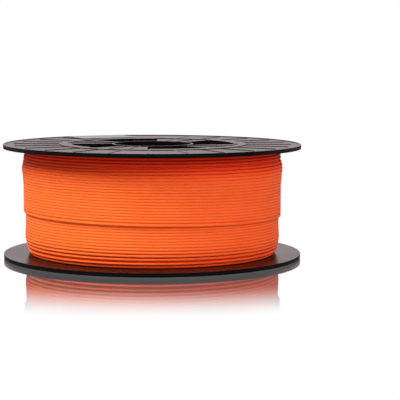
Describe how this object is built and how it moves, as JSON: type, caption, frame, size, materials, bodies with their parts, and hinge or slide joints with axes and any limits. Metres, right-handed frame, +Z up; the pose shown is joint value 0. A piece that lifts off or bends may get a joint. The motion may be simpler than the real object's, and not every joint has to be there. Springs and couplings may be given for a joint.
{
  "type": "filament spool",
  "caption": "Plastic spool of wound printer filament: two rayed flanges with hub windows, snapped on to a barrel, with a bore through the middle.",
  "frame": {"origin": "middle of the lower flange's outer face, which the spool rests on when it lies flat", "axes": "+Z up along the bore; +X along the straight edge of a hub window of the upper flange; -Y towards the side that is seen first"},
  "size_m": [0.2, 0.2, 0.0762],
  "materials": {
    "black_plastic": "satin",
    "filament": "gloss",
    "label_paper": "satin"
  },
  "bodies": {
    "root": {"upper_flange": "black_plastic", "lower_flange": "black_plastic", "barrel": "black_plastic", "filament_core": "filament", "filament_lower_layer": "filament", "filament_outer_layer": "filament", "label": "label_paper"}
  },
  "joints": []
}
